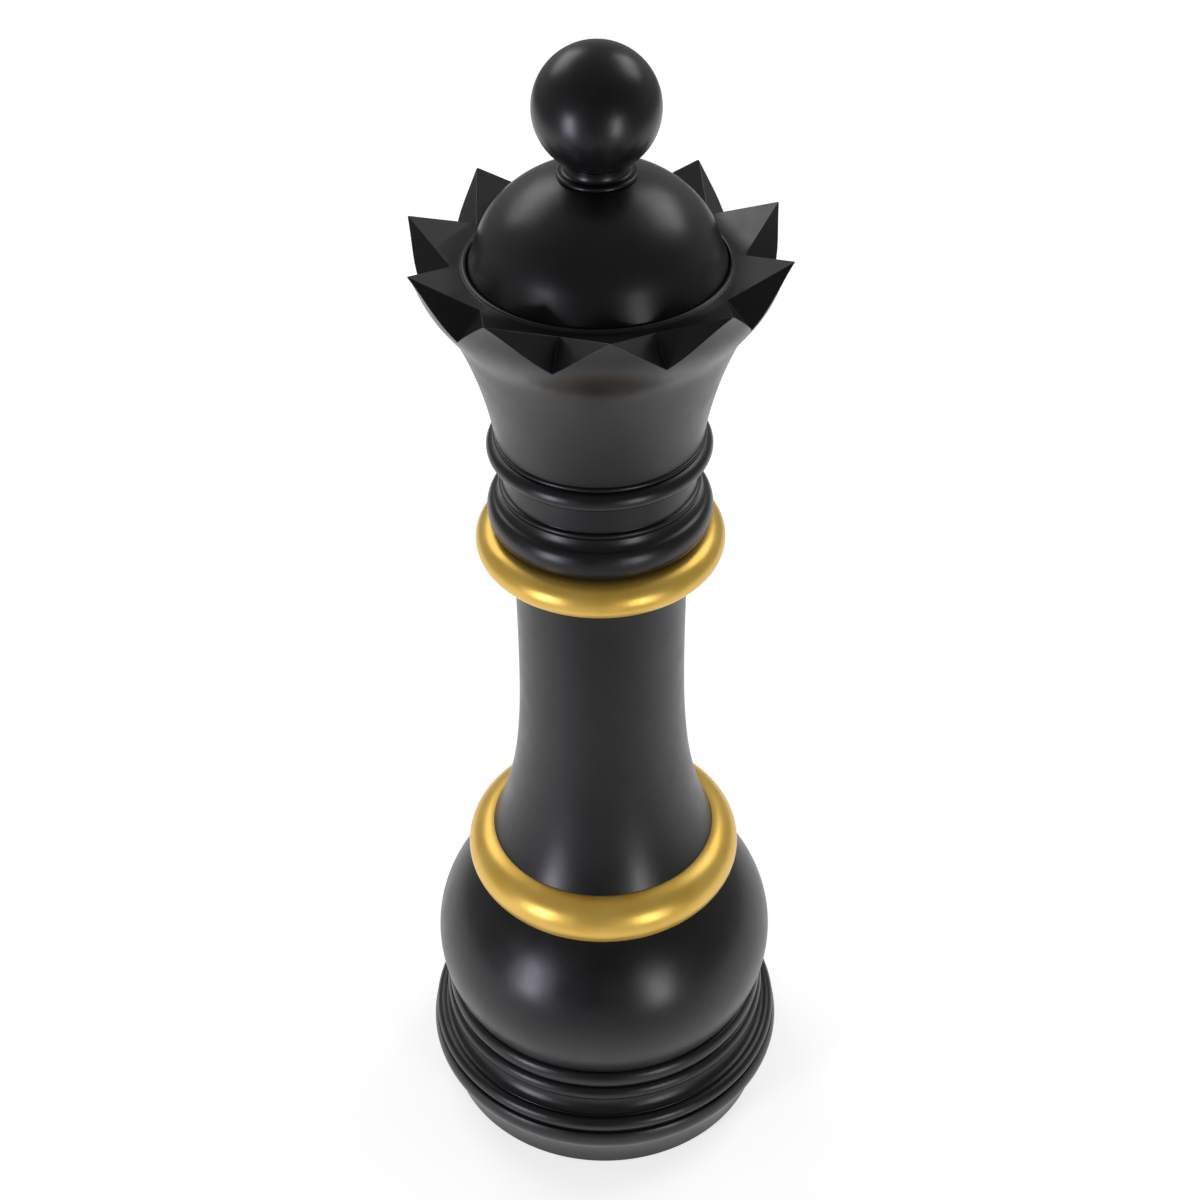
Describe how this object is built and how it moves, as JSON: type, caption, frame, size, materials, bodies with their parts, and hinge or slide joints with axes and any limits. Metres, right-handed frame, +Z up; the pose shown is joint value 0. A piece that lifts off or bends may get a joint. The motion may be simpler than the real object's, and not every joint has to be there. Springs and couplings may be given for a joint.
{
  "type": "giant chess piece",
  "caption": "Tall turned chess queen for a lawn game: wide stepped foot, bulb, flared column with gold rings, pointed crown, dome and a ball finial that unscrews from its tie rod.",
  "frame": {"origin": "on the piece's axis, at the ground that its rubber pads stand on", "axes": "+Z up along the axis, -Y towards the crown point that faces forward, +X to the right"},
  "size_m": [0.2842, 0.2842, 0.9001],
  "materials": {
    "black_lacquer": "turned hardwood under satin black lacquer",
    "gold_lacquer": "turned hardwood under satin gold metallic lacquer",
    "plywood": "sealed birch plywood",
    "zinc_steel": "bright zinc plate",
    "cast_iron": "as cast, oiled",
    "brass": "machined",
    "black_rubber": "matt moulded"
  },
  "bodies": {
    "piece": {"base_foot": "black_lacquer", "base_cover": "plywood", "cover_screw_1": "zinc_steel", "cover_screw_2": "zinc_steel", "cover_screw_3": "zinc_steel", "cover_screw_4": "zinc_steel", "foot_pad_1": "black_rubber", "foot_pad_2": "black_rubber", "foot_pad_3": "black_rubber", "foot_pad_4": "black_rubber", "ballast_ring": "cast_iron", "base_plinth": "black_lacquer", "base_bead": "black_lacquer", "bulb_seat_ring": "black_lacquer", "bulb_body": "black_lacquer", "lower_gold_ring": "gold_lacquer", "column": "black_lacquer", "upper_gold_ring": "gold_lacquer", "neck_cushion": "black_lacquer", "neck_band": "black_lacquer", "neck_bead": "black_lacquer", "crown": "black_lacquer", "dome_gasket": "black_rubber", "dome_cap": "black_lacquer", "tie_rod": "zinc_steel", "base_washer": "zinc_steel", "base_nut": "zinc_steel", "crown_washer": "zinc_steel", "crown_nut": "zinc_steel"},
    "collar": {"finial_collar": "black_lacquer"},
    "ball": {"finial_ball": "black_lacquer", "finial_insert": "brass"}
  },
  "joints": [
    {"name": "finial_rise", "type": "slide", "parent": "piece", "child": "collar", "axis": [0, 0, 1], "range_m": [0, 0.0123]},
    {"name": "finial_turn", "type": "hinge", "parent": "collar", "child": "ball", "pos_m": [0, 0, 0.859], "axis": [0, 0, 1], "range_deg": [0, 2520]}
  ],
  "couplings": [
    {"joint": "finial_rise", "follows": "finial_turn", "m_per_rad": 0.00027852}
  ]
}
